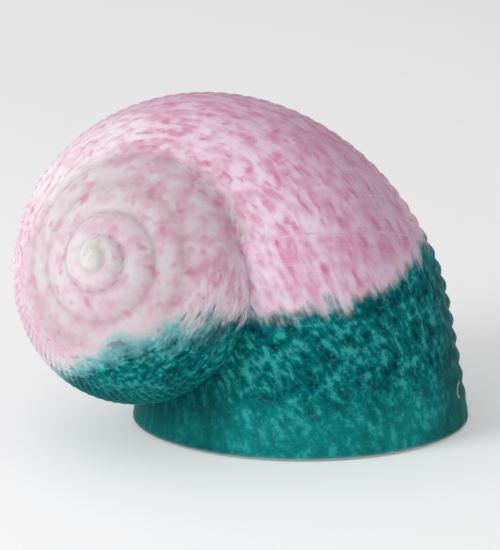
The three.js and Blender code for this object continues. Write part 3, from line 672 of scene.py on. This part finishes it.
def finished(name, made, material, body, slot, *nodes):
    """Turns a bmesh into a piece that stands for CAD nodes and rides on their body."""
    bmesh.ops.remove_doubles(made, verts=made.verts, dist=1e-6)
    bmesh.ops.recalc_face_normals(made, faces=made.faces)
    for face in made.faces:
        face.smooth = True
    mesh = bpy.data.meshes.new(name)
    made.to_mesh(mesh)
    made.free()
    mesh.set_sharp_from_angle(angle=math.radians(35))
    mesh.materials.append(material)
    piece = bpy.data.objects.new(name, mesh)
    scene.collection.objects.link(piece)
    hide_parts(*nodes)
    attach(piece, body)
    return piece


def turned(profile, centre, steps=96):
    """A body of revolution about an upright axis, from (radius, height) pairs."""
    made = bmesh.new()
    line = [made.verts.new(centre + Vector((radius, 0, height))) for radius, height in profile]
    edges = [made.edges.new(pair) for pair in zip(line, line[1:])]
    bmesh.ops.spin(
        made, geom=line + edges, cent=centre, axis=(0, 0, 1), angle=2 * math.pi, steps=steps, use_merge=True
    )
    return made


def moulded(name, dark, light, rough=(0.4, 0.55), patch=70, grain=1800, grain_deep=0.00002, **more):
    """A moulded or coated finish: a slow drift of colour, a fine grain, and polish that varies a little."""
    finish = Finish(name)
    where = finish.place()
    drift = finish.noise(where, patch, 4, 0.6)
    fine = finish.noise(where, grain, 2)
    return finish.done(
        Base_Color=finish.ramp(drift * 0.8 + fine * 0.2, (0.36, paint(*dark)), (0.62, paint(*light))),
        Roughness=finish.ramp(drift, (0.35, rough[0]), (0.65, rough[1])),
        Normal=finish.bump(fine, grain_deep, 0.6),
        **more,
    )


frosted = moulded(
    "frosted_dome",
    (228, 230, 230),
    (242, 243, 241),
    (0.3, 0.42),
    60,
    2600,
    Subsurface_Weight=0.3,
    Subsurface_Radius=(0.002, 0.002, 0.002),
    Subsurface_Scale=1.0,
)
quarter = [n * math.pi / 2 / QUARTER_STEPS for n in range(QUARTER_STEPS + 1)]
dome_line = [
    (DOME_RADIUS - DOME_WALL, FLANGE_LOW),
    (FLANGE_RADIUS - FILLET, FLANGE_LOW),
    (FLANGE_RADIUS, FLANGE_LOW + FILLET),
    (FLANGE_RADIUS, FLANGE_HIGH - FILLET),
    (FLANGE_RADIUS - FILLET, FLANGE_HIGH),
    (DOME_RADIUS + FILLET, FLANGE_HIGH),
]
spring, rise = FLANGE_HIGH + FILLET, DOME_HEIGHT - FILLET
dome_line += [(DOME_RADIUS * math.cos(a), spring + rise * math.sin(a)) for a in quarter]
bore, ceiling = DOME_RADIUS - DOME_WALL, DOME_HEIGHT - DOME_WALL
dome_line += [(bore * math.cos(a), FLANGE_HIGH + ceiling * math.sin(a)) for a in reversed(quarter)]
dome_line.append(dome_line[0])
finished("diffuser_dome", turned(dome_line, UNIT), frosted, "light_unit", "frosted_plastic", "diffuser")

# ---------------------------------------------------------------------------------------------------------
# The casing: a pan and a cap of white ABS with a fine spark texture, the battery door in the pan's floor and
# the body of the switch. Each is an injection moulding with softly broken edges.
# ---------------------------------------------------------------------------------------------------------
def eased(node, material, body, slot, radius):
    """A CAD node's own shape with its edges broken by a small radius."""
    made = bmesh.new()
    made.from_mesh(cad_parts[node].data)
    bmesh.ops.remove_doubles(made, verts=made.verts, dist=1e-6)
    bmesh.ops.dissolve_limit(made, angle_limit=math.radians(0.5), verts=made.verts, edges=made.edges)
    piece = finished(node + "_eased", made, material, body, slot, node)
    rounding = piece.modifiers.new("rounding", "BEVEL")
    rounding.width, rounding.segments, rounding.limit_method = radius, 2, "ANGLE"
    rounding.angle_limit = math.radians(40)
    rounding.use_clamp_overlap = True
    return piece


white_abs = moulded("white_abs", (222, 221, 216), (236, 235, 231), (0.42, 0.56), 45, 2400, 0.00003)
for part, body in (("base_pan", "light_unit"), ("top_cover", "light_unit"), ("battery_door", "door")):
    eased(part, white_abs, body, "white_plastic", 0.00018)
black_abs = moulded("black_abs", (24, 24, 25), (38, 38, 40), (0.4, 0.55), 80, 2400, 0.00003)
eased("switch_body", black_abs, "light_unit", "black_plastic", 0.00015)
eased("switch_slider", black_abs, "switch", "black_plastic", 0.00012)

# ---------------------------------------------------------------------------------------------------------
# Hardware: plated steel screws with turned heads, a steel hinge pin, and nickelled contacts with their cone
# springs.
# ---------------------------------------------------------------------------------------------------------
METAL_GRAIN = 5200
steel = moulded(
    "plated_steel", (150, 152, 155), (196, 198, 200), (0.22, 0.4), 380, METAL_GRAIN, 0.000008, Metallic=1.0
)
nickel = moulded(
    "nickel_plate", (176, 170, 158), (208, 204, 194), (0.2, 0.36), 300, METAL_GRAIN, 0.000006, Metallic=1.0
)
screws = [f"cover_screw_{n}" for n in range(1, 5)] + [f"clip_screw_{n}" for n in range(1, 5)]
screws += [f"board_screw_{n}" for n in range(1, 4)]
for part in [*screws, "door_hinge_pin"]:
    eased(part, steel, "light_unit", "steel", 0.00008)
eased("door_screw", steel, "door", "steel", 0.00012)
for part in ("contact_negative", "contact_bridge_1", "contact_bridge_2", "contact_positive"):
    eased(part, nickel, "light_unit", "nickel", 0.00008)

# ---------------------------------------------------------------------------------------------------------
# Four bowed clips of spring steel strip hold the unit centred in the mouth. Each is screwed to the casing by
# its flat tab, and its bow bears on the glass.
# ---------------------------------------------------------------------------------------------------------
CLIP_WIDE, CLIP_THICK = 0.009, 0.0006
CASING_REACH = {1: 0.0432, 2: 0.033, 3: 0.0432, 4: 0.033}
CLIP_LINE = ((0.0003, 0.0135), (0.0003, 0.0091), (0.0027, 0.0062), (0.0033, 0.005))
CLIP_LINE += ((0.0029, 0.004), (0.001, 0.0026))
spring_steel = moulded(
    "spring_steel", (128, 130, 134), (172, 174, 177), (0.25, 0.42), 260, METAL_GRAIN, 0.000008, Metallic=1.0
)
for n, reach in CASING_REACH.items():
    strip = bmesh.new()
    line = [strip.verts.new((reach + out, -CLIP_WIDE / 2, height)) for out, height in CLIP_LINE]
    edges = [strip.edges.new(pair) for pair in zip(line, line[1:])]
    wide = bmesh.ops.extrude_edge_only(strip, edges=edges)["geom"]
    moved = [part for part in wide if isinstance(part, bmesh.types.BMVert)]
    bmesh.ops.translate(strip, verts=moved, vec=(0, CLIP_WIDE, 0))
    inner_edges = [edge for edge in strip.edges if len(edge.link_faces) == 2]
    bends = [edge for edge in inner_edges if abs(edge.verts[0].co.y - edge.verts[1].co.y) > CLIP_WIDE / 2]
    bmesh.ops.bevel(strip, geom=bends, offset=0.0005, segments=4, profile=0.5, affect="EDGES", material=-1)
    bmesh.ops.recalc_face_normals(strip, faces=strip.faces)
    if strip.faces[:][0].normal.x > 0:
        bmesh.ops.reverse_faces(strip, faces=strip.faces)
    bmesh.ops.solidify(strip, geom=strip.faces, thickness=CLIP_THICK)
    quarter_turns = Matrix.Rotation((n - 1) * math.pi / 2, 3, "Z")
    bmesh.ops.rotate(strip, verts=strip.verts, cent=(0, 0, 0), matrix=quarter_turns)
    bmesh.ops.translate(strip, verts=strip.verts, vec=UNIT)
    finished(f"bowed_clip_{n}", strip, spring_steel, "light_unit", "steel", f"spring_clip_{n}")

# ---------------------------------------------------------------------------------------------------------
# Feet: discs of grey nitrile rubber, each pressed into the pan by its stem.
# ---------------------------------------------------------------------------------------------------------
FOOT_AT = (0.031, 0.0175)
FOOT_LINE = ((0, 0), (0.0034, 0), (0.0038, 0.00012), (0.004, 0.0004), (0.004, 0.0015), (0.0037, 0.0018))
FOOT_LINE += ((0.0015, 0.0018), (0.0015, 0.0033), (0.0012, 0.0036), (0, 0.0036))
rubber = moulded("nitrile_rubber", (46, 46, 48), (66, 66, 68), (0.7, 0.88), 240, 2200, 0.00004)
for n, (left, front) in enumerate(((1, 1), (-1, 1), (-1, -1), (1, -1)), 1):
    spot = UNIT + Vector((left * FOOT_AT[0], front * FOOT_AT[1], 0))
    foot = turned(FOOT_LINE, spot, 48)
    finished(f"rubber_foot_{n}", foot, rubber, "light_unit", "foot_rubber", f"foot_{n}")

# ---------------------------------------------------------------------------------------------------------
# Three alkaline cells in printed foil jackets, with bare steel at their ends, and the leads from the end
# contacts to the board: stranded wire in red and in black PVC.
# ---------------------------------------------------------------------------------------------------------
CELL_HALF = 0.02225
jacket = Finish("foil_jacket")
where = jacket.place()
along = jacket.apart(where)[0] - UNIT.x
foil_drift = jacket.noise(jacket.stretched(where, 60, 900, 900), 1, 3)
foil = jacket.ramp(foil_drift, (0.35, paint(40, 62, 58)), (0.65, paint(56, 82, 76)))
from_middle = jacket.node("Math", {"operation": "ABSOLUTE"}, {0: along})
band = jacket.rise(from_middle, 0.0142, 0.0144)
foil = jacket.mix(band, foil, paint(176, 146, 92))
bare = jacket.rise(from_middle, CELL_HALF - 0.0011, CELL_HALF - 0.001)
cell_finish = jacket.done(
    Base_Color=jacket.mix(bare, foil, paint(190, 190, 188)),
    Metallic=jacket.rise(band + bare, 0, 1) * 0.8 + 0.1,
    Roughness=jacket.ramp(foil_drift, (0.3, 0.24), (0.7, 0.36)),
    Normal=jacket.bump(foil_drift, 0.00001, 0.4),
)
for n in range(1, 4):
    eased(f"battery_cell_{n}", cell_finish, "light_unit", "cell_jacket", 0.0002)
red_pvc = moulded("red_pvc", (168, 24, 22), (196, 36, 30), (0.35, 0.5), 500, 3000)
black_pvc = moulded("black_pvc", (22, 22, 24), (36, 36, 38), (0.35, 0.5), 500, 3000)
eased("lead_positive", red_pvc, "light_unit", "red_wire", 0.00002)
eased("lead_negative", black_pvc, "light_unit", "black_wire", 0.00002)

# ---------------------------------------------------------------------------------------------------------
# The board: aluminium-backed, under white solder resist, with six LEDs soldered in a ring. Each LED is a
# white package with a lens of yellow phosphor gel.
# ---------------------------------------------------------------------------------------------------------
resist = moulded("solder_resist", (226, 228, 226), (240, 241, 239), (0.3, 0.42), 90, 2600, 0.00001)
eased("led_board", resist, "light_unit", "board_white", 0.0001)
LENS_FROM = 0.0205
phosphor = Finish("phosphor_lens")
where = phosphor.place()
gel = phosphor.ramp(phosphor.noise(where, 2400, 2), (0.35, paint(226, 186, 62)), (0.65, paint(242, 212, 96)))
lens = phosphor.rise(phosphor.apart(where)[2], LENS_FROM + 0.0003, LENS_FROM + 0.0004)
lens_finish = phosphor.done(
    Base_Color=phosphor.mix(lens, paint(232, 232, 228), gel),
    Roughness=0.3 - lens * 0.15,
    Normal=phosphor.bump(phosphor.noise(where, 5000, 2), 0.000005, 0.4),
)
for n in range(1, 7):
    eased(f"led_{n}", lens_finish, "light_unit", "led_phosphor", 0.00008)
